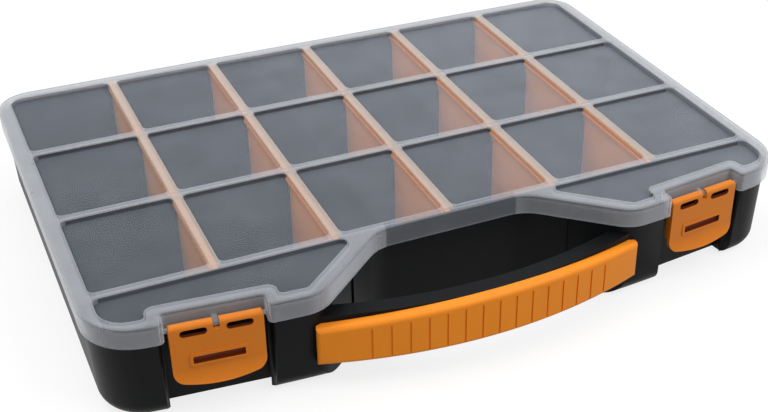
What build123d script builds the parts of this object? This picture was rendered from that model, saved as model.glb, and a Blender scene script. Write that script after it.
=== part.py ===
from build123d import *
import math
import os

# A compartment case for small parts: a black tub with row walls and slide-in dividers, a clear lid
# on rear hooks, two snap latches hinged on the lid, and a carrying handle with a soft grip.
# Millimetres, +Z up, +Y to the hinge side, origin under the middle of the case at its resting face.

# Compartment grid
column_pitch = 63.5
column_count = 6
row_pitch = 75.0
row_count = 3
pocket_depth = 45.9

# Outline of the lid seen from above
side_reach = 6.0
back_reach = 4.7
front_radius = 1330.0
back_corner_radius = 20.0
front_corner_radius = 28.0
finger_recess_inner = 43.0
finger_recess_outer = 88.0
finger_recess_inner_radius = 22.0
finger_recess_outer_radius = 20.0

# Heights
case_height = 58.0
skirt_height = 11.5
panel_depth = 3.0
rim_gap = 0.6
wall_rise = 2.0

# Wall thicknesses and running gaps
lid_wall = 1.5
tray_wall = 1.2
skirt_gap = 0.6
tub_wall = 2.0
floor_thickness = 2.2
row_wall = 1.3
seat_gap = 0.3
overlap = 0.1
overshoot = 1.0

# Tub form
side_draft = 2.0
base_radius = 10.0
recess_draft = 6.0
wall_groove_width = 3.0
wall_groove_depth = 1.0

# Windows and strips of the lid
column_strip = 5.6
row_strip = 5.4
window_radius = 3.5
side_border = 8.2
back_border = 7.4
front_border = 7.2
diagonal_border = 8.5
back_window_radius = 8.0
pocket_end_radius = 14.0
bump_radius = 5.0
mouth_radius = 2.5
lid_edge_radius = 1.6
strip_edge_radius = 0.8

# Latches and the notches they hang in
latch_place = 138.7
latch_width = 45.0
latch_height = 34.4
latch_thickness = 2.2
latch_corner_radius = 6.0
latch_bottom_bow = 3.0
latch_lip = 3.0
notch_width = 48.8
notch_depth = 9.5
notch_mouth_radius = 3.0
notch_inner_radius = 2.0
pod_edge_radius = 3.0
latch_bar_radius = 1.2
latch_barrel_radius = 2.5
latch_bar_depth = 4.7
latch_top_drop = 4.8
pivot_gap = 0.07
bar_rib_width = 2.5
latch_notch_width = 3.2
latch_notch_depth = 5.2
eye_width = 13.0
eye_height = 3.8
eye_spacing = 22.0
eye_drop = 4.6
mouth_width = 25.0
mouth_height = 4.0
mouth_drop = 20.5
mouth_depth = 1.4
mouth_rim = 1.6
catch_width = 24.0
catch_height = 3.5
catch_z = 30.0
catch_tip = 8.6
latch_flare_drop = 1.5
latch_mouth = 2.1
latch_rim = 1.6
latch_rim_depth = 2.5
latch_top_radius = 2.0
mouth_raise = 0.5
mouth_corner_radius = 0.6
latch_mouth_angle = -30.0
latch_rib_drop = 3.0

# Handle bar and its grip
handle_bulge = 13.5
handle_radius = 280.0
handle_top = 41.2
handle_bottom = 15.0
handle_depth = 14.8
handle_wall = 2.5
handle_rib_count = 6
grip_half_length = 92.5
grip_cover = 5.5
grip_wall = 2.2
grip_end_drop = 4.4
grip_top_radius = 3.2
grip_foot_radius = 2.5
grip_end_radius = 2.2
grip_gap = 0.1
handle_rib = 2.0
groove_count = 15
groove_pitch = 9.5
groove_width = 1.0
groove_depth = 0.7
groove_top_drop = 4.2
groove_foot_rise = 1.5

# Rear hinge
hinge_place = 120.0
hinge_drop = 42.0
hinge_offset = 3.4
hinge_pin_radius = 2.0
hinge_hook_radius = 3.6
hinge_width = 34.0
hinge_ear = 3.0
hinge_ear_radius = 3.4
hinge_hook_width = 10.0
hinge_hook_spacing = 15.0
hook_mouth = 3.4
hook_mouth_angle = -50.0
hook_gusset = 5.0
hook_heel_out = 3.2
hook_heel_up = 1.4
hinge_ear_foot = 7.2

# Dividers and the guide ribs that hold their ends
divider_web = 1.6
divider_flange = 4.6
divider_flange_height = 1.6
divider_crest = 2.8
divider_lift = 1.6
guide_rib = 1.2
guide_reach = 2.4
guide_drop = 6.0
guide_gap = 0.2

# Places worked out from the sizes above
front_reach = pocket_depth + handle_bulge
rear_reach = back_reach + hinge_offset + hinge_hook_radius
front_line = (front_reach - row_count * row_pitch - rear_reach) / 2
row_lines = [front_line + i * row_pitch for i in range(row_count + 1)]
column_lines = [(i - column_count / 2) * column_pitch for i in range(column_count + 1)]
lid_half = column_count / 2 * column_pitch + side_reach
lid_back = row_lines[-1] + back_reach
front_apex = front_line - pocket_depth
front_centre = front_apex + front_radius
skirt_bottom = case_height - skirt_height
panel_top = case_height - panel_depth
panel_bottom = panel_top - tray_wall
rim_top = panel_bottom - rim_gap
wall_top = panel_bottom + wall_rise
tub_inset = lid_wall + skirt_gap
recess_edge = front_line + row_wall / 2 - tub_wall - tub_inset
hinge_y = lid_back + hinge_offset
latch_angle = math.degrees(math.asin(latch_place / front_radius))
latch_bar_z = case_height - latch_top_drop - latch_barrel_radius
latch_top = case_height - latch_top_drop
latch_bottom = latch_top - latch_height
catch_bevel = catch_height / 3
handle_front = front_apex - handle_bulge
handle_centre = handle_front + handle_radius


# Small helpers

def corner_near(shape, x, y):
    return min(shape.vertices(), key=lambda v: (v.X - x) ** 2 + (v.Y - y) ** 2)


def round_corners(face, places, radius):
    if radius <= 0:
        return face
    return fillet([corner_near(face, x, y) for x, y in places], radius)


def arc_y(x, inset):
    return front_centre - math.sqrt((front_radius - inset) ** 2 - x ** 2)


def plate(face, low, high):
    return extrude(Pos(0, 0, low) * face, amount=high - low)


def polygon(points):
    return make_face(Polyline(*points, close=True))


def along_x(profile, length):
    # A profile drawn in (y, z) becomes a solid of this length, centred on x = 0
    return extrude(Plane.YZ * profile, amount=length / 2, both=True)


# Outline of the case from above, drawn at any distance inside the lid's outer face

def convex_plan(inset, corner_radius):
    half = lid_half - inset
    back = lid_back - inset
    side = arc_y(half, inset)
    face = make_face([
        Line((-half, side), (-half, back)),
        Line((-half, back), (half, back)),
        Line((half, back), (half, side)),
        ThreePointArc((half, side), (0, arc_y(0, inset)), (-half, side)),
    ])
    face = round_corners(face, [(-half, back), (half, back)], back_corner_radius - inset)
    return round_corners(face, [(-half, side), (half, side)], corner_radius)


recess_slope = math.atan2(recess_edge - arc_y(finger_recess_outer, 0),
                          finger_recess_outer - finger_recess_inner)


def recess_corner(inset):
    return finger_recess_inner + inset * math.tan(recess_slope / 2), recess_edge + inset


def finger_recess(inset, corner_radius):
    x, y = recess_corner(inset)
    far_y = front_apex - pocket_depth
    far_x = x + (y - far_y) / math.tan(recess_slope)
    face = polygon([(-x, y), (x, y), (far_x, far_y), (-far_x, far_y)])
    return round_corners(face, [(-x, y), (x, y)], corner_radius)


def latch_frame(side):
    x = side * latch_place
    return Pos(x, arc_y(x, 0), 0) * Rot(0, 0, side * latch_angle)


def latch_notch(side, inset, inner_radius):
    half = notch_width / 2 + inset
    depth = notch_depth + inset
    face = polygon([(-half, -pocket_depth), (half, -pocket_depth), (half, depth), (-half, depth)])
    face = round_corners(face, [(-half, depth), (half, depth)], inner_radius)
    return latch_frame(side) * face


def notch_mouth(side, inset):
    spots = [latch_frame(side) * Pos(end * (notch_width / 2 + inset), inset, 0) for end in (-1, 1)]
    return [(spot.position.X, spot.position.Y) for spot in spots]


def case_plan(inset, mouth_radius):
    face = convex_plan(inset, front_corner_radius - inset)
    face = face - finger_recess(inset, finger_recess_inner_radius + inset)
    for side in (-1, 1):
        face = face - latch_notch(side, inset, notch_inner_radius + inset)
    places = [(side * finger_recess_outer, arc_y(finger_recess_outer, inset)) for side in (-1, 1)]
    face = round_corners(face, places, finger_recess_outer_radius - inset)
    mouths = notch_mouth(-1, inset) + notch_mouth(1, inset)
    return round_corners(face, mouths, mouth_radius)


# Windows of the lid, drawn larger than the recess by the wall of their tray

def compartment_window(column, row, grow):
    left = column_lines[column] + column_strip / 2 - grow
    right = column_lines[column + 1] - column_strip / 2 + grow
    front = row_lines[row] + row_strip / 2 - grow
    back = row_lines[row + 1] - row_strip / 2 + grow
    outer = lid_half - side_border + grow
    if column == 0:
        left = -outer
    if column == column_count - 1:
        right = outer
    if row == row_count - 1:
        back = lid_back - back_border + grow
    face = Pos((left + right) / 2, (front + back) / 2) * Rectangle(right - left, back - front)
    inner = [(x, y) for x in (left, right) for y in (front, back)]
    if row == row_count - 1 and column in (0, column_count - 1):
        corner = (left if column == 0 else right, back)
        inner.remove(corner)
        face = round_corners(face, [corner], back_window_radius + grow)
    return round_corners(face, inner, window_radius + grow)


def pocket_window(side, grow):
    inset = front_border - grow
    back = row_lines[0] - row_strip / 2 + grow
    outer = lid_half - side_border + grow
    depth = pocket_depth * 2
    zone = Pos(side * outer / 2, back - depth / 2) * Rectangle(outer, depth)
    face = convex_plan(inset, 0) - finger_recess(diagonal_border - grow, 0)
    face = (face - latch_notch(side, inset, bump_radius - grow)) & zone
    x, y = recess_corner(diagonal_border - grow)
    inner_x = x + (y - back) / math.tan(recess_slope)
    face = round_corners(face, [(side * outer, arc_y(outer, inset))], pocket_end_radius + grow)
    face = round_corners(face, [(side * outer, back), (side * inner_x, back)], window_radius + grow)
    face = round_corners(face, notch_mouth(side, inset), mouth_radius + grow)
    tip_x = x + (y - arc_y(finger_recess_outer, inset)) / math.tan(recess_slope)
    tip = (side * tip_x, arc_y(tip_x, inset))
    return round_corners(face, [tip], window_radius + grow)


# Lid: a skirted sheet whose strips stand over the walls, with a recessed pane over each compartment

def make_lid():
    lid = plate(case_plan(0, notch_mouth_radius), skirt_bottom, case_height)
    lid = fillet(lid.edges().group_by(Axis.Z)[-1], lid_edge_radius)
    inside = case_plan(lid_wall, notch_mouth_radius - lid_wall)
    lid = lid - plate(inside, skirt_bottom - overshoot, case_height - lid_wall)
    trays = []
    recesses = []
    for column in range(column_count):
        for row in range(row_count):
            tray = compartment_window(column, row, tray_wall)
            trays.append(plate(tray, panel_bottom, case_height - lid_wall))
            recesses.append(plate(compartment_window(column, row, 0), panel_top, case_height + overshoot))
    for side in (-1, 1):
        trays.append(plate(pocket_window(side, tray_wall), panel_bottom, case_height - lid_wall))
        recesses.append(plate(pocket_window(side, 0), panel_top, case_height + overshoot))
    lid = lid + trays - recesses
    window_edges = [wire.edges() for wire in lid.faces().sort_by(Axis.Z)[-1].inner_wires()]
    lid = fillet([edge for edges in window_edges for edge in edges], strip_edge_radius)
    for side in (-1, 1):
        lid = lid + latch_bar(side)
    for x in hinge_hook_places():
        lid = lid + hinge_hook(x)
    return lid


def latch_bar(side):
    length = notch_width + lid_wall
    bar = Pos(0, latch_bar_depth, latch_bar_z) * Rot(0, 90, 0) * Cylinder(latch_bar_radius, length)
    reach = notch_depth + lid_wall / 2 - latch_bar_depth
    web_height = latch_barrel_radius + latch_bar_radius
    web = Box(bar_rib_width, reach, web_height, align=(Align.CENTER, Align.MIN, Align.MIN))
    web = Pos(0, latch_bar_depth, latch_bar_z - latch_barrel_radius) * web
    return latch_frame(side) * (bar + web)


# Rear hinge: hooks of the lid hang on pins that stand between ears of the tub

def hinge_hook_places():
    return [side * hinge_place + end * hinge_hook_spacing / 2 for side in (-1, 1) for end in (-1, 1)]


def hinge_hook(x):
    root = skirt_bottom - hinge_drop
    skirt_middle = -hinge_offset - lid_wall / 2
    neck = polygon([
        (-hinge_hook_radius, 0), (skirt_middle, root), (skirt_middle, root + hook_gusset),
        (-hinge_offset, root + hook_gusset), (hook_heel_out, hook_heel_up), (0, 0),
    ])
    bore = Circle(hinge_pin_radius + pivot_gap)
    mouth = Pos(hinge_hook_radius, 0) * Rectangle(2 * hinge_hook_radius, hook_mouth)
    mouth = Rot(0, 0, hook_mouth_angle) * mouth
    profile = neck + Circle(hinge_hook_radius) - bore - mouth
    return Pos(x, hinge_y, hinge_drop) * along_x(profile, hinge_hook_width)


# Tub: a drafted, round-bottomed body with recesses for the handle and the latches, hollowed out

def draft(z):
    return side_draft * (1 - z / rim_top)


def tapered_body(low, high, inset, radius):
    sections = []
    for z in (low, high):
        depth = inset + draft(z)
        sections.append(Pos(0, 0, z) * convex_plan(depth, front_corner_radius - depth))
    body = loft(sections, ruled=True)
    return fillet(body.edges().group_by(Axis.Z)[0], radius)


def recess_face(z, inset):
    # The wall behind a latch leans in towards its foot
    return notch_depth + inset + recess_draft * (1 - z / rim_top)


def recess_wedge(side, inset):
    depth = notch_depth + inset
    near = depth - overshoot
    profile = polygon([(near, -overshoot), (recess_face(0, inset), 0), (depth, rim_top), (near, rim_top)])
    return latch_frame(side) * along_x(profile, notch_width + 2 * inset)


def hollow_form(low, high, inset, radius, mouth_radius):
    form = tapered_body(low, high, inset, radius) & plate(case_plan(inset, mouth_radius), low, high)
    for side in (-1, 1):
        form = form - recess_wedge(side, inset)
    return form


def back_face(z):
    # Inner face of the back wall at this height
    return lid_back - tub_inset - tub_wall - draft(z)


def wall_groove(side):
    # An upright groove in each sloping wall of the finger recess, in line with a column of dividers
    x, y = recess_corner(tub_inset)
    place = column_lines[column_count // 2 + 1]
    spot = Pos(side * place, y - (place - x) * math.tan(recess_slope), base_radius)
    cutter = Box(wall_groove_width, 2 * wall_groove_depth, rim_top,
                 align=(Align.CENTER, Align.CENTER, Align.MIN))
    return spot * Rot(0, 0, -side * math.degrees(recess_slope)) * cutter


def make_tub_body():
    body = hollow_form(0, rim_top, tub_inset, base_radius, pod_edge_radius)
    for side in (-1, 1):
        body = body - wall_groove(side)
    return body + handle_bar()


def make_tub(body):
    inset = tub_inset + tub_wall
    hollow = hollow_form(floor_thickness, rim_top + overshoot, inset,
                         base_radius - tub_wall, pod_edge_radius - tub_wall)
    tub = body - hollow
    walls = []
    for y in row_lines[:row_count]:
        height = wall_top - floor_thickness / 2
        wall = Box(2 * lid_half, row_wall, height, align=(Align.CENTER, Align.CENTER, Align.MAX))
        walls.append(Pos(0, y, wall_top) * wall)
    walls = walls + guide_ribs()
    limit = tapered_body(floor_thickness / 2, wall_top, tub_inset + tub_wall / 2,
                         base_radius - tub_wall / 2)
    tub = tub + [wall & limit for wall in walls]
    for side in (-1, 1):
        tub = tub + catch_nose(side)
        tub = tub + Pos(side * hinge_place, 0, 0) * hinge_pin()
    return tub


def guide_ribs():
    low = floor_thickness / 2
    high = rim_top - guide_drop
    spacing = divider_web / 2 + guide_gap + guide_rib / 2
    ribs = []
    for x in column_lines[1:column_count]:
        for place in (x - spacing, x + spacing):
            for number, y in enumerate(row_lines[:row_count]):
                front = y - row_wall / 2 - guide_reach if number > 0 else y
                back = y + row_wall / 2 + guide_reach
                rib = Box(guide_rib, back - front, high - low, align=(Align.CENTER, Align.MIN, Align.MIN))
                ribs.append(Pos(place, front, low) * rib)
            profile = polygon([
                (back_face(low) - guide_reach, low), (back_face(low) + tub_wall / 2, low),
                (back_face(high) + tub_wall / 2, high), (back_face(high) - guide_reach, high),
            ])
            ribs.append(Pos(place, 0, 0) * along_x(profile, guide_rib))
    return ribs


def catch_nose(side):
    # The snap undercut is left out: the latch's ledge passes just in front of the nose
    tip = catch_tip + seat_gap
    low = catch_z + seat_gap
    root = recess_face(low, tub_inset) + tub_wall / 2
    profile = polygon([
        (root, low - catch_bevel), (tip, low), (tip, low + catch_bevel), (root, low + catch_height),
    ])
    return latch_frame(side) * along_x(profile, catch_width)


def hinge_pin():
    # Two ears on the back wall with the pin between them, about x = 0
    wall = back_face(hinge_drop) + tub_wall / 2 - hinge_y
    low_wall = back_face(hinge_drop - hinge_ear_foot) + tub_wall / 2 - hinge_y
    heel = hinge_ear_radius * math.sin(math.radians(45))
    profile = polygon([
        (wall, hinge_ear_radius), (0, hinge_ear_radius), (0, 0), (heel, -heel), (low_wall, -hinge_ear_foot),
    ]) + Circle(hinge_ear_radius)
    ear = along_x(profile, hinge_ear)
    place = hinge_width / 2 - hinge_ear / 2
    pin = Rot(0, 90, 0) * Cylinder(hinge_pin_radius, hinge_width - hinge_ear)
    return Pos(0, hinge_y, hinge_drop) * (pin + Pos(place, 0, 0) * ear + Pos(-place, 0, 0) * ear)


# Handle: a bowed bar moulded with the tub, open underneath, and the grip clipped over its front

def bowed(profile, half_length):
    # A profile drawn in (distance behind the handle's front, z), swept along the handle's arc
    angle = math.degrees(math.asin(half_length / handle_radius))
    start = Plane.YZ * Pos(-handle_radius, 0) * profile
    sweep = revolve(start, Axis.Z, revolution_arc=2 * angle)
    return Pos(0, handle_centre, 0) * Rot(0, 0, -angle) * sweep


def radial_place(x, depth):
    # A frame on the handle's front arc, turned to face along the radius
    angle = math.degrees(math.asin(x / handle_radius))
    return Pos(0, handle_centre, 0) * Rot(0, 0, angle) * Pos(0, depth - handle_radius, 0)


def grip_top(x):
    # The grip's upper edge falls away from its middle to both ends
    return handle_top - grip_end_drop * (x / grip_half_length) ** 2


def under_arch(inset):
    half = grip_half_length + overshoot
    low = grip_top(half) - inset
    high = handle_top - inset
    face = make_face([
        Line((-half, 0), (half, 0)), Line((half, 0), (half, low)),
        ThreePointArc((half, low), (0, high), (-half, low)), Line((-half, low), (-half, 0)),
    ])
    return extrude(Plane.XZ * face, amount=-2 * handle_front, both=True)


def grip_form(inset, depth):
    # The grip's outer shape drawn any distance inside it, from its front back to this depth
    low = handle_bottom + inset
    face = polygon([(inset, low), (depth, low), (depth, handle_top), (inset, handle_top)])
    face = round_corners(face, [(inset, low)], grip_foot_radius - inset)
    form = bowed(face, grip_half_length - inset) & under_arch(inset)
    crown = max(form.edges(), key=lambda edge: edge.center().Z - edge.center().Y)
    return fillet(crown, grip_top_radius - inset)


def grip_plan():
    # The grip seen from above, with its front corners rounded
    turn = math.asin(grip_half_length / handle_radius)
    back = handle_radius - grip_cover - overlap
    corners = [(radius * math.sin(angle), handle_centre - radius * math.cos(angle))
               for radius, angle in ((handle_radius, -turn), (handle_radius, turn), (back, turn), (back, -turn))]
    face = make_face([
        ThreePointArc(corners[0], (0, handle_front), corners[1]), Line(corners[1], corners[2]),
        ThreePointArc(corners[2], (0, handle_centre - back), corners[3]), Line(corners[3], corners[0]),
    ])
    return round_corners(face, corners[:2], grip_end_radius)


def handle_bar():
    seat = grip_wall + grip_gap
    step = grip_cover + grip_gap
    rear = polygon([
        (step, handle_bottom), (handle_depth, handle_bottom), (handle_depth, handle_top), (step, handle_top),
    ])
    inside = handle_depth - seat - 2 * handle_wall
    height = grip_top(grip_half_length) - seat - handle_wall - handle_bottom
    channel = Pos(seat + handle_wall, handle_bottom - overshoot)
    channel = channel * Rectangle(inside, height + overshoot, align=(Align.MIN, Align.MIN))
    bar = grip_form(seat, step + overlap) + bowed(rear, grip_half_length + handle_wall)
    bar = bar - bowed(channel, finger_recess_outer)
    rib = Box(handle_rib, inside + handle_wall, height - handle_wall, align=(Align.CENTER, Align.MIN, Align.MIN))
    rib = Pos(0, 0, handle_bottom + handle_wall) * rib
    pitch = 2 * finger_recess_outer / handle_rib_count
    for i in range(handle_rib_count):
        x = (i - (handle_rib_count - 1) / 2) * pitch
        bar = bar + radial_place(x, seat + handle_wall / 2) * rib
    return bar


def make_grip(tub_body):
    grip = grip_form(0, grip_cover) & plate(grip_plan(), handle_bottom, handle_top)
    grip = grip - grip_form(grip_wall, grip_cover + overlap)
    low = handle_bottom + groove_foot_rise
    for i in range(groove_count):
        x = (i - (groove_count - 1) / 2) * groove_pitch
        height = grip_top(x) - groove_top_drop - low
        groove = Box(groove_width, 2 * groove_depth, height, align=(Align.CENTER, Align.CENTER, Align.MIN))
        grip = grip - radial_place(x, 0) * Pos(0, 0, low) * groove
    return grip - tub_body


# Latches: a plate rolled round the lid's bar at the top, with a finger lip at the foot

def make_latch(side):
    front = latch_bar_depth - latch_barrel_radius
    back = front + latch_thickness
    lip = front - latch_lip
    flare = catch_z - latch_flare_drop
    outline = make_face([
        Line((front, latch_bar_z), (front, flare)),
        TangentArc((front, flare), (lip, latch_bottom), tangent=(0, -1)),
        Line((lip, latch_bottom), (lip + latch_thickness, latch_bottom)),
        TangentArc((back, flare), (lip + latch_thickness, latch_bottom), tangent=(0, -1)),
        Line((back, flare), (back, latch_bar_z)),
        Line((back, latch_bar_z), (front, latch_bar_z)),
    ])
    slot = Rectangle(2 * latch_barrel_radius, latch_mouth, align=(Align.MIN, Align.CENTER))
    ring = Circle(latch_barrel_radius) - Circle(latch_bar_radius + pivot_gap)
    ring = ring - Rot(0, 0, latch_mouth_angle) * slot
    barrel = Pos(latch_bar_depth, latch_bar_z) * Circle(latch_barrel_radius)
    profile = outline - barrel + Pos(latch_bar_depth, latch_bar_z) * ring
    latch = along_x(profile, latch_width)
    height = latch_bar_z - flare - latch_rib_drop
    rib = Box(latch_rim, latch_rim_depth, height, align=(Align.CENTER, Align.MIN, Align.MIN))
    for end in (-1, 1):
        latch = latch + Pos(end * (latch_width - latch_rim) / 2, back - overlap, flare) * rib
    root = back - overlap
    ledge = polygon([
        (root, catch_z - catch_height), (catch_tip, catch_z - catch_bevel),
        (catch_tip, catch_z), (root, catch_z),
    ])
    latch = latch + along_x(ledge, catch_width)
    frame = RectangleRounded(mouth_width + 2 * mouth_rim, mouth_height + 2 * mouth_rim, mouth_rim)
    latch = latch + Pos(0, front, latch_top - mouth_drop) * Rot(90, 0, 0) * extrude(frame, amount=mouth_raise)
    mouth = RectangleRounded(mouth_width, mouth_height, mouth_corner_radius)
    mouth = Rot(90, 0, 0) * extrude(mouth, amount=mouth_depth + mouth_raise, both=True)
    latch = latch - Pos(0, front - mouth_raise, latch_top - mouth_drop) * mouth
    face = latch_face()
    latch = latch & Pos(0, latch_width / 2, 0) * Rot(90, 0, 0) * extrude(face, amount=latch_width)
    eye = Rot(90, 0, 0) * extrude(SlotOverall(eye_width, eye_height), amount=latch_thickness + 1, both=True)
    for end in (-1, 1):
        latch = latch - Pos(end * eye_spacing / 2, front, latch_top - eye_drop) * eye
    gap = Box(latch_notch_width, latch_width, 2 * latch_notch_depth)
    latch = latch - Pos(0, 0, latch_top) * gap
    return latch_frame(side) * latch


def latch_face():
    half = latch_width / 2
    foot = latch_bottom + latch_bottom_bow
    face = make_face([
        Line((-half, foot), (-half, latch_top)), Line((-half, latch_top), (half, latch_top)),
        Line((half, latch_top), (half, foot)), ThreePointArc((half, foot), (0, latch_bottom), (-half, foot)),
    ])
    face = round_corners(face, [(-half, foot), (half, foot)], latch_corner_radius)
    return round_corners(face, [(-half, latch_top), (half, latch_top)], latch_top_radius)


# Dividers: a web with a stiffening flange under the lid and a crest that stands in the lid's strip

def make_divider(column, row):
    low = floor_thickness
    front = row_lines[row] + row_wall / 2 + seat_gap
    back = row_lines[row + 1] - row_wall / 2 - seat_gap
    if row < row_count - 1:
        web = polygon([(front, low), (back, low), (back, rim_top), (front, rim_top)])
    else:
        back = back_face(rim_top) - seat_gap
        foot = back_face(low) - seat_gap
        web = polygon([(front, low), (foot, low), (back, rim_top), (front, rim_top)])
        web = round_corners(web, [(foot, low)], base_radius)
    flange_back = back - draft(rim_top - divider_flange_height) if row == row_count - 1 else back
    divider = along_x(web, divider_web)
    length = flange_back - front
    flange = Box(divider_flange, length, divider_flange_height, align=(Align.CENTER, Align.MIN, Align.MAX))
    crest = Box(divider_crest, length, divider_lift, align=(Align.CENTER, Align.MIN, Align.MIN))
    divider = divider + Pos(0, front, rim_top) * flange + Pos(0, front, rim_top) * crest
    return Pos(column_lines[column], 0, 0) * divider


part_names = []


def save(name, solid):
    export_step(solid, f"parts/{name}.step")
    part_names.append(name)


os.makedirs("parts", exist_ok=True)
tub_body = make_tub_body()
save("tub", make_tub(tub_body))
save("handle_grip", make_grip(tub_body))
save("lid", make_lid())
save("latch_left", make_latch(-1))
save("latch_right", make_latch(1))
for row, row_name in enumerate(("front", "middle", "back")):
    for column in range(1, column_count):
        save(f"divider_{row_name}_{column}", make_divider(column, row))
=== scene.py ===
# %% [markdown]
# # Compartment storage box
#
# A flat carrying case for small parts: a satin black tub, a milky see-through lid with raised
# strips over the walls, orange dividers seen through the lid, two orange snap latches and an
# orange grip on a bowed handle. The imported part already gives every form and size, so this
# lesson is about finish: it rounds the edges that catch light, writes each plastic as a small
# sum of noises and tags, and sets up the light and the camera.

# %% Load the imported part
import math

import bmesh
import bpy
from mathutils import Matrix, Vector


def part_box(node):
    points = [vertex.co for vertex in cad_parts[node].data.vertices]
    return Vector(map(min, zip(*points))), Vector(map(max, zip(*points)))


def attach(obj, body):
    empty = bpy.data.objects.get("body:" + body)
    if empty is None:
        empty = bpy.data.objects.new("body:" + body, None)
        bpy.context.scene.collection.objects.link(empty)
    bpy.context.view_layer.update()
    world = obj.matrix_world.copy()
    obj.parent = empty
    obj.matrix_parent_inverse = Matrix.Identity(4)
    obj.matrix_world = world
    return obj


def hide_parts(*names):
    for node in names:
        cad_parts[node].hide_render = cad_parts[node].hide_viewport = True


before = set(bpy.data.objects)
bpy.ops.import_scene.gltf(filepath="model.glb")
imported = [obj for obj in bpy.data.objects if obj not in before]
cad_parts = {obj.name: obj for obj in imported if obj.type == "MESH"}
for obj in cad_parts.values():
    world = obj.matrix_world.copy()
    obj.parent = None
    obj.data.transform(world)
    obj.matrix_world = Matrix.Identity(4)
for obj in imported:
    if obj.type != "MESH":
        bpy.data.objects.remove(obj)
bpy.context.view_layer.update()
MM = 0.001

# %% [markdown]
# ## Shader maths
#
# A material could be wired by hand in the shader editor, but it is easier to read as sums and
# products. A Value below wraps one socket of a node tree, and each operator adds the Math node
# that works it out. The reflected forms let a plain number stand first, as in 1 - cloudiness.

# %% A value in a node tree


class Value:
    def __init__(self, wiring, socket):
        self.wiring = wiring
        self.socket = socket

    def math(self, operation, first, second):
        return self.wiring.node("ShaderNodeMath", {"operation": operation}, {0: first, 1: second})

    def largest(self, other):
        return self.math("MAXIMUM", self, other)

    def __add__(self, other):
        return self.math("ADD", self, other)

    def __sub__(self, other):
        return self.math("SUBTRACT", self, other)

    def __rsub__(self, other):
        return self.math("SUBTRACT", other, self)

    def __mul__(self, other):
        return self.math("MULTIPLY", self, other)

    def __rtruediv__(self, other):
        return self.math("DIVIDE", other, self)

    def __pow__(self, other):
        return self.math("POWER", self, other)

    __radd__ = __add__
    __rmul__ = __mul__


print("made", Value.__name__)

# %% [markdown]
# A Wiring holds the node tree of a material or of the world. Its node method makes any kind of
# node in one line: the settings come first, because some of them change the sockets, and then
# the numbers or the links of the sockets. Made one by one, each node would need several lines.

# %% The wiring of a node tree


class Wiring:
    def __init__(self, tree):
        self.tree = tree

    def feed(self, socket, value):
        if isinstance(value, Value):
            self.tree.links.new(value.socket, socket)
        else:
            socket.default_value = value

    def node(self, kind, settings, inputs, output=0):
        node = self.tree.nodes.new(kind)
        for name, setting in settings.items():
            setattr(node, name, setting)
        for name, value in inputs.items():
            self.feed(node.inputs[name], value)
        return Value(self, node.outputs[output])


def between(share, low, high):
    """Stretch a value from 0 to 1 so that it runs from low to high"""
    return share * (high - low) + low


print("half way from 2 to 4 is", between(0.5, 2, 4))

# %% [markdown]
# ## A moulded plastic
#
# Every piece of the case is moulded plastic, so one class serves them all. A Finish is the
# wiring of one Principled shader: the settings that stay the same all over are written on the
# shader, and what changes over a piece comes from noises and from numbers tagged on its faces.
# The Mix node has sockets of the same name for numbers and for colours, so its two colour
# sockets are picked by their place.

# %% A moulded plastic
FIRST_COLOUR = 6
SECOND_COLOUR = 7


class Finish(Wiring):
    def __init__(self, name, **constants):
        self.material = bpy.data.materials.new(name)
        self.material.use_nodes = True
        super().__init__(self.material.node_tree)
        self.shader = self.tree.nodes["Principled BSDF"]
        for socket, number in constants.items():
            self.shader.inputs[socket.replace("_", " ")].default_value = number

    def noise(self, scale, detail):
        place = self.node("ShaderNodeTexCoord", {}, {}, "Object")
        inputs = {"Vector": place, "Scale": scale, "Detail": detail}
        return self.node("ShaderNodeTexNoise", {}, inputs, "Fac")

    def attribute(self, name):
        return self.node("ShaderNodeAttribute", {"attribute_name": name}, {}, "Fac")

    def blend(self, factor, low, high):
        inputs = {"Factor": factor, FIRST_COLOUR: low, SECOND_COLOUR: high}
        return self.node("ShaderNodeMix", {"data_type": "RGBA"}, inputs, "Result")

    def set(self, name, value):
        self.feed(self.shader.inputs[name], value)

    def bump(self, height, depth):
        normal = self.node("ShaderNodeBump", {}, {"Height": height, "Distance": depth, "Strength": 1})
        self.set("Normal", normal)


def srgb(red, green, blue):
    """A colour from its 0 to 255 display values"""
    parts = [c / 255 for c in (red, green, blue)]
    return (*(c / 12.92 if c <= 0.04045 else ((c + 0.055) / 1.055) ** 2.4 for c in parts), 1)


print("a display grey of 128 is", round(srgb(128, 128, 128)[0], 3))

# %% [markdown]
# ## Black tub
#
# The real tub is moulded polypropylene with a fine matt grain, which looks nearly black and
# only a little greyer where it faces the light. A plain black would show no form at all, so
# a broad cloud changes colour and gloss, and a fine noise gives the grain its bump.

# %% Tub plastic
DEEP_BLACK = srgb(10, 11, 13)
GREYED_BLACK = srgb(19, 20, 22)
black = Finish("black_plastic", Specular_IOR_Level=0.1)
cloud = black.noise(scale=16, detail=4)
grain = black.noise(scale=2600, detail=2)
black.set("Base Color", black.blend(cloud, DEEP_BLACK, GREYED_BLACK))
black.set("Roughness", between(cloud, 0.36, 0.5))
black.bump(grain, 0.03 * MM)
print("made", black.material.name)
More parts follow.
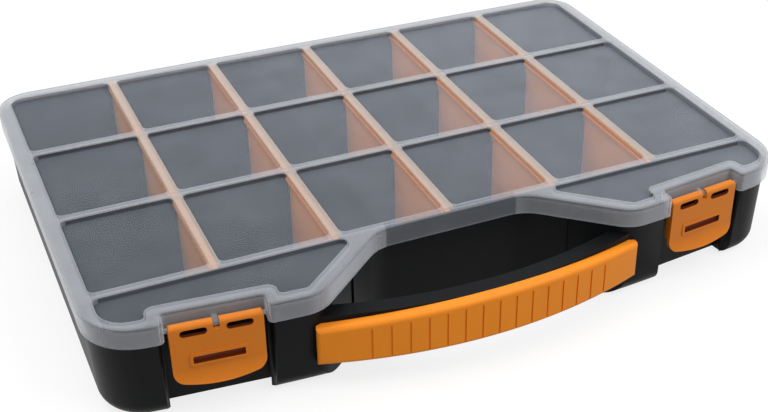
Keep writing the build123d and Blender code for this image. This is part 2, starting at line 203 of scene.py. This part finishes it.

# %% [markdown]
# ## Milky lid
#
# The lid is natural polypropylene, cloudy enough to look grey over the black tub and clear
# enough to show the orange dividers. Glass with rough refraction would be truer but would
# leave the inside dark and noisy. Alpha is used here instead, and it follows the rule of a
# cloudy sheet: the slanted path of a low view passes more plastic, so a pane is milkier far
# away than close by. Three tags are read from the faces: milk says how cloudy a face is when
# seen square on, dull how grey it is, and the third how much orange glow from the divider
# below is painted into it.

# %% Lid plastic
CLEAR_BLUE = srgb(190, 203, 222)
MILK_WHITE = srgb(232, 234, 240)
BORDER_GREY = srgb(134, 139, 146)
# Tan painted on the seams as the glow of the orange dividers below them
PAINTED_GLOW_TAN = srgb(190, 158, 126)
WHITENING = 6
LEAST_SQUARENESS = 0.2
SLANT_POWER = 1.3
FINE_SHARE = 0.1
milky = Finish("milky_plastic", Specular_IOR_Level=0.5)
milk = milky.attribute("milk")
mottle = milky.noise(scale=45, detail=4)
fine = milky.noise(scale=900, detail=2)
squareness = 1 - milky.node("ShaderNodeLayerWeight", {}, {"Blend": 0.5}, "Facing")
path = 1 / squareness.largest(LEAST_SQUARENESS) ** SLANT_POWER
cloudiness = milk * between(mottle, 0.75, 1.25)
milky.set("Alpha", 1 - (1 - cloudiness) ** path)
blue_or_white = milky.blend(milk * WHITENING, CLEAR_BLUE, MILK_WHITE)
greyed = milky.blend(milky.attribute("dull"), blue_or_white, BORDER_GREY)
# Painted glow: the seams are tinted tan for the orange light of the dividers below
milky.set("Base Color", milky.blend(milky.attribute("painted_glow"), greyed, PAINTED_GLOW_TAN))
milky.set("Roughness", between(mottle, 0.2, 0.4))
milky.bump(mottle + fine * FINE_SHARE, 0.045 * MM)
print("made", milky.material.name)

# %% [markdown]
# ## Orange pieces
#
# Latches, grip and dividers are three close oranges. The latches are the deepest and the
# glossiest, the grip is lighter with a deeper grain, and the thin dividers are palest, partly
# their own colour and partly painted light for the dim inside of the closed box. Three
# hand-made materials would not stay alike, so one function writes them all. The tag shade is
# 1 inside the latches' slots, where a red brown is painted in as shade, because the deep
# plastic there only sees itself, and 0 everywhere else.

# %% Orange plastics
# Red brown painted into the latches' slots, as their shade
SLOT_PAINTED_SHADE = srgb(104, 38, 10)
ROUGHNESS_SPREAD = 0.15


def orange(name, deep, light, roughness, grain_scale, grain_depth):
    finish = Finish(name, Specular_IOR_Level=0.25)
    cloud = finish.noise(scale=30, detail=4)
    grain = finish.noise(grain_scale, detail=2)
    body = finish.blend(cloud, deep, light)
    finish.set("Base Color", finish.blend(finish.attribute("shade"), body, SLOT_PAINTED_SHADE))
    finish.set("Roughness", between(cloud, roughness, roughness + ROUGHNESS_SPREAD))
    finish.bump(grain, grain_depth)
    return finish


latch_orange = orange("latch_orange", srgb(208, 114, 22), srgb(221, 128, 29),
                      roughness=0.3, grain_scale=1500, grain_depth=0.02 * MM)
grip_orange = orange("grip_orange", srgb(234, 133, 24), srgb(246, 148, 34),
                     roughness=0.38, grain_scale=2200, grain_depth=0.04 * MM)
# The dividers' orange is set lighter partly as painted light, for the dim inside of the closed box
divider_orange = orange("divider_orange", srgb(242, 148, 26), srgb(252, 164, 40),
                        roughness=0.4, grain_scale=1500, grain_depth=0.02 * MM)
print("made", [finish.material.name for finish in (latch_orange, grip_orange, divider_orange)])

# %% [markdown]
# ## Dressed pieces
#
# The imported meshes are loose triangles. Each piece here is a merged copy that stands for its
# node. A moulded edge is never sharp, and a thin light line along it is most of what makes
# plastic look real, so crisp edges can get a small bevel. A Bevel modifier would do it too,
# but with the bevel cut into the mesh, the numbers tagged later lie on the finished faces.

# %% Merge a node's mesh into a piece
CREASE = math.radians(28)
FLAT = math.radians(0.3)
WELD = 0.002 * MM
CUT_SLACK = 0.0001 * MM


def dress(node, name, body, finish, bevel=0.0, cuts=()):
    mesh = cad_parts[node].data.copy()
    mesh.materials.clear()
    mesh.materials.append(finish.material)
    work = bmesh.new()
    work.from_mesh(mesh)
    bmesh.ops.remove_doubles(work, verts=work.verts, dist=WELD)
    bmesh.ops.dissolve_limit(work, angle_limit=FLAT, verts=work.verts, edges=work.edges)
    for cut in cuts:
        everything = work.verts[:] + work.edges[:] + work.faces[:]
        bmesh.ops.bisect_plane(work, geom=everything, dist=CUT_SLACK,
                               plane_co=cut, plane_no=cut.normalized())
    if bevel:
        crisp = [e for e in work.edges if len(e.link_faces) == 2 and e.calc_face_angle(0) > CREASE]
        bmesh.ops.bevel(work, geom=crisp, offset=bevel, segments=2, profile=0.5,
                        affect="EDGES", clamp_overlap=True)
    for face in work.faces:
        face.smooth = True
    for edge in work.edges:
        edge.smooth = len(edge.link_faces) == 2 and edge.calc_face_angle(0) < CREASE
    work.to_mesh(mesh)
    work.free()
    piece = bpy.data.objects.new(name, mesh)
    bpy.context.scene.collection.objects.link(piece)
    if bevel:
        # Normals weighted by area keep the broad faces flat beside their rounded edges
        piece.modifiers.new("flat_faces", "WEIGHTED_NORMAL").keep_sharp = True
    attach(piece, body)
    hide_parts(node)
    return piece


print("nodes to dress", len(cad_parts))

# %% [markdown]
# ## Lines across the lid
#
# The lid is one moulding, but its border, strips and panes let different amounts of light
# through. A painted mask would need a UV map and a picture. It is simpler to cut the copied
# mesh along the straight lines where the regions meet, so that every face lies in one region
# and can carry its numbers. The lines come from the boxes of the lid and of the dividers, and
# each cut is the point where its upright plane crosses the X or the Y axis.

# %% Where the lid's regions meet
SIDE_BORDER = 8.2 * MM
BACK_BORDER = 7.4 * MM
HOOK_REACH = 7 * MM
RECESS_FLAT = 38 * MM
STRIP_WIDTH = 5.6 * MM
lid_low, lid_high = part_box("lid")
side_line = lid_high.x - SIDE_BORDER
back_line = lid_high.y - HOOK_REACH - BACK_BORDER
divider_boxes = [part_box(node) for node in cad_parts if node.startswith("divider")]
divider_lines = sorted({round((low.x + high.x) / 2, 5) for low, high in divider_boxes})
divider_ends = sorted({round(corner.y, 5) for box in divider_boxes for corner in box})
front_line = divider_ends[0]
x_cuts = [-side_line, -RECESS_FLAT, RECESS_FLAT, side_line]
x_cuts += [x + side * STRIP_WIDTH / 2 for x in divider_lines for side in (-1, 1)]
y_cuts = [back_line, *divider_ends]
lid_cuts = [Vector((x, 0, 0)) for x in x_cuts] + [Vector((0, y, 0)) for y in y_cuts]
print("borders beyond x", round(side_line, 4), "and y", round(back_line, 4))

# %% [markdown]
# ## The twenty pieces
#
# Tub, grip, lid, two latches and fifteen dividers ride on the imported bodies. Only the grip and
# the latches get a bevel, because their bright edges are the ones that show. On the lid's thin
# steps and the tub's many ribs it would cost many faces and hardly show.

# %% Dress the pieces
tub = dress("tub", "tub_shell", "tub", black)
grip = dress("handle_grip", "grip_shell", "tub", grip_orange, bevel=0.25 * MM)
lid = dress("lid", "lid_shell", "lid", milky, cuts=lid_cuts)
latches = [dress(f"latch_{side}", f"latch_{side}_plate", f"latch_{side}", latch_orange,
                 bevel=0.3 * MM)
           for side in ("left", "right")]
dividers = [dress(node, f"{node}_web", "tub", divider_orange)
            for node in sorted(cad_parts) if node.startswith("divider")]
print("dressed", len([tub, grip, lid, *latches, *dividers]), "pieces")

# %% [markdown]
# ## Regions of the lid
#
# Thin panes are let into the lid, with a little upright step round each, strips between them
# and a border at the sides and the back. A seam is the stretch of strip over a divider, the
# recess is the flat band behind the finger opening, and the rim is the foot of the skirt. The
# faces could be picked by hand in edit mode, but a face's height, slant and place are enough
# to tell its region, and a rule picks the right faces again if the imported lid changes.

# %% Find the region of each face
STRIP_HEIGHT = 3 * MM
PANE_THICKNESS = 1.2 * MM
SLACK = 0.2 * MM
STEP_MARGIN = 3 * MM
UPRIGHT = 0.3
pane_top = lid_high.z - STRIP_HEIGHT
pane_low = pane_top - PANE_THICKNESS


def lid_region(face):
    heights = [lid.data.vertices[i].co.z for i in face.vertices]
    upright = abs(face.normal.z) < UPRIGHT
    margin = STEP_MARGIN if upright else SLACK
    x, y = face.center.xy
    at_border = abs(x) > side_line - margin or y > back_line - margin
    near_line = min(abs(x - line) for line in divider_lines) < STRIP_WIDTH / 2 + SLACK
    at_seam = near_line and any(low.y < y < high.y for low, high in divider_boxes)
    place = "border" if at_border else "seam" if at_seam else "strip"
    if upright and min(heights) > pane_low - SLACK:
        return f"{place} step"
    if min(heights) > pane_low - SLACK and max(heights) < pane_top + SLACK:
        return "pane"
    if max(heights) < lid_low.z + SLACK:
        return "rim"
    if abs(x) < RECESS_FLAT and y < front_line:
        return "recess"
    return "skirt" if upright else place


regions = [lid_region(face) for face in lid.data.polygons]
print("faces in each region", {region: regions.count(region) for region in sorted(set(regions))})

# %% [markdown]
# ## How cloudy each region is
#
# Strips, borders and the skirt are cloudier than the thin panes. The steps are nearly as clear
# as a pane and show as dark lines, except along the border, where they are as grey as it is. The
# recess is clearer than the skirt, so that it shows darker over the black tub, as painted shade
# under the handle. A seam is milkier than the rest of its strip, and a tan is painted into it for
# the glow of the orange divider under it. Vertex paint would blur from one region to the next,
# so each face gets its own numbers.

# %% Tag the faces of the lid
# The recess is clearer than the skirt, so it shows darker: a painted shade under the handle
MILK = {"pane": 0.05, "strip step": 0.06, "recess": 0.1, "seam step": 0.14, "skirt": 0.15,
        "strip": 0.15, "seam": 0.28, "rim": 0.3, "border": 0.3, "border step": 0.6}
DULL = {"strip": 0.4, "seam": 0.4, "recess": 0.4, "border": 0.7, "border step": 1.0}
PAINTED_GLOW_SHARE = {"seam": 0.5, "seam step": 0.5}
PANE_PAINTED_SHEEN = 0.2


def tag(piece, attribute, numbers):
    """Write one number on each face of a piece"""
    field = piece.data.attributes.new(attribute, "FLOAT", "FACE")
    field.data.foreach_set("value", numbers)


def milk_of(face, region):
    # Panes are painted a little milkier, and so lighter, towards the right: a painted sheen, as in
    # the photograph
    painted_sheen = PANE_PAINTED_SHEEN * face.center.x / lid_high.x if region == "pane" else 0
    return MILK[region] * (1 + painted_sheen)


tag(lid, "milk", [milk_of(face, region) for face, region in zip(lid.data.polygons, regions)])
tag(lid, "dull", [DULL.get(region, 0.0) for region in regions])
tag(lid, "painted_glow", [PAINTED_GLOW_SHARE.get(region, 0.0) for region in regions])
print("tagged", len(regions), "faces of the lid")

# %% [markdown]
# ## Slots of the latches
#
# The two eyes and the slot below them are deep and narrow, so in the photograph they are red
# brown and not orange, from shade. That shade is painted into the colour of their faces. A
# second material could be put on them, but a tag keeps the latch in one. The faces are found
# by measuring from the latch's pivot, along the latch, outwards and down. Each latch is turned
# a little, in radians, to follow the bowed front.

# %% Tag the faces inside the slots
LATCH_TURN = 0.1045
PIVOT = Vector((0.13821, -0.122624, 0.0507))
SLOT_INNER = 0.5 * MM
SLOT_OUTER = 2.4 * MM
MOUTH_DROP = 18 * MM
MOUTH_HALF_WIDTH = 12.6 * MM
MOUTH_HALF_HEIGHT = 2.1 * MM
EYE_DROP = 2.1 * MM
EYE_OFFSET = 11 * MM
EYE_HALF_WIDTH = 6.6 * MM
EYE_HALF_HEIGHT = 2 * MM


def in_slot(centre, side):
    along = Vector((math.cos(LATCH_TURN), side * math.sin(LATCH_TURN), 0))
    outward = Vector((side * math.sin(LATCH_TURN), -math.cos(LATCH_TURN), 0))
    step = centre - Vector((side * PIVOT.x, PIVOT.y, PIVOT.z))
    across = abs(step.dot(along))
    in_mouth = across < MOUTH_HALF_WIDTH and abs(step.z + MOUTH_DROP) < MOUTH_HALF_HEIGHT
    in_eye = abs(across - EYE_OFFSET) < EYE_HALF_WIDTH and abs(step.z + EYE_DROP) < EYE_HALF_HEIGHT
    return SLOT_INNER < step.dot(outward) < SLOT_OUTER and (in_mouth or in_eye)


for side, latch in zip((-1, 1), latches):
    shades = [float(in_slot(face.center, side)) for face in latch.data.polygons]
    tag(latch, "shade", shades)
    print(latch.name, "has", int(sum(shades)), "faces in its slots")

# %% [markdown]
# ## Floor
#
# The photograph is a product picture on pure white. Light strong enough to burn a floor to
# white would also burn the lid, so the floor is a plain grey that only the camera and shiny
# surfaces see lifted to white. It keeps the shadow of the case.

# %% Floor
FLOOR_GREY = 0.22
FLOOR_SIZE = 6
bpy.ops.mesh.primitive_plane_add(size=FLOOR_SIZE, location=(0, 0, 0))
floor = bpy.context.object
floor.name = "floor"


def seen_directly(wiring):
    """1 for camera, mirror and glass rays, 0 for the rays that carry light"""
    camera, glossy, glass = [wiring.node("ShaderNodeLightPath", {}, {}, f"Is {kind} Ray")
                             for kind in ("Camera", "Glossy", "Transmission")]
    return camera.largest(glossy).largest(glass)


paper = bpy.data.materials.new("floor_paper")
paper.use_nodes = True
wiring = Wiring(paper.node_tree)
lift = seen_directly(wiring) * (1 - FLOOR_GREY)
matt = wiring.node("ShaderNodeBsdfDiffuse", {}, {"Color": (FLOOR_GREY, FLOOR_GREY, FLOOR_GREY, 1)})
glow = wiring.node("ShaderNodeEmission", {}, {"Strength": lift})
both = wiring.node("ShaderNodeAddShader", {}, {0: matt, 1: glow})
wiring.feed(paper.node_tree.nodes["Material Output"].inputs["Surface"], both)
floor.data.materials.append(paper)
print("floor laid")

# %% [markdown]
# ## Sky and lamps
#
# The sky is a soft dome, brighter overhead than at the horizon, so that tops are lighter than
# fronts as in the photograph. A picture of a studio could light the case too, but two numbers
# are easier to match to the photograph. Two wide lamps give the forms a direction: one at the
# front right, and one high above the back left.

# %% World and lamps
HORIZON = 0.5
ZENITH = 0.75
world = bpy.data.worlds.new("studio")
bpy.context.scene.world = world
world.use_nodes = True
wiring = Wiring(world.node_tree)
way = wiring.node("ShaderNodeTexCoord", {}, {}, "Generated")
height = wiring.node("ShaderNodeSeparateXYZ", {}, {"Vector": way}, "Z").largest(0)
dome = between(height, HORIZON, ZENITH)
direct = seen_directly(wiring)
backdrop = world.node_tree.nodes["Background"]
backdrop.inputs["Color"].default_value = (1, 1, 1, 1)
wiring.feed(backdrop.inputs["Strength"], direct + (1 - direct) * dome)


def softbox(name, place, size, power):
    lamp = bpy.data.lights.new(name, "AREA")
    lamp.shape = "RECTANGLE"
    lamp.size, lamp.size_y = size
    lamp.energy = power
    holder = bpy.data.objects.new(name, lamp)
    bpy.context.scene.collection.objects.link(holder)
    holder.location = place
    holder.rotation_euler = (-Vector(place)).to_track_quat("-Z", "Y").to_euler()


softbox("key", place=(0.7, -0.9, 1.3), size=(1.2, 1.0), power=12)
softbox("overhead", place=(-0.6, 0.3, 1.6), size=(1.2, 1.2), power=12)

# %% [markdown]
# ## Camera
#
# A camera could be placed by eye until the picture fits. This one was solved from the
# crossings of the lid's strips, which are an even grid, and from the grip's upright grooves.
# The photograph is a crop of a wider picture, so its centre is not the lens's centre, and a
# sideways shift says so.

# %% Camera
CAMERA_PLACE = (-0.2498, -0.6024, 0.4149)
lens = bpy.data.cameras.new("photo_camera")
camera = bpy.data.objects.new("photo_camera", lens)
bpy.context.scene.collection.objects.link(camera)
bpy.context.scene.camera = camera
lens.sensor_width = 36
lens.lens = 59.8
lens.shift_x = -0.1092
forward = Vector((0.3838, 0.7574, -0.5282)).normalized()
upward = Vector((0.2205, 0.4804, 0.8489))
right = forward.cross(upward).normalized()
turn = Matrix((right, right.cross(forward), -forward)).transposed().to_4x4()
camera.matrix_world = Matrix.Translation(CAMERA_PLACE) @ turn
bpy.context.scene.view_settings.view_transform = "Standard"
print("camera at", [round(v, 4) for v in camera.location])
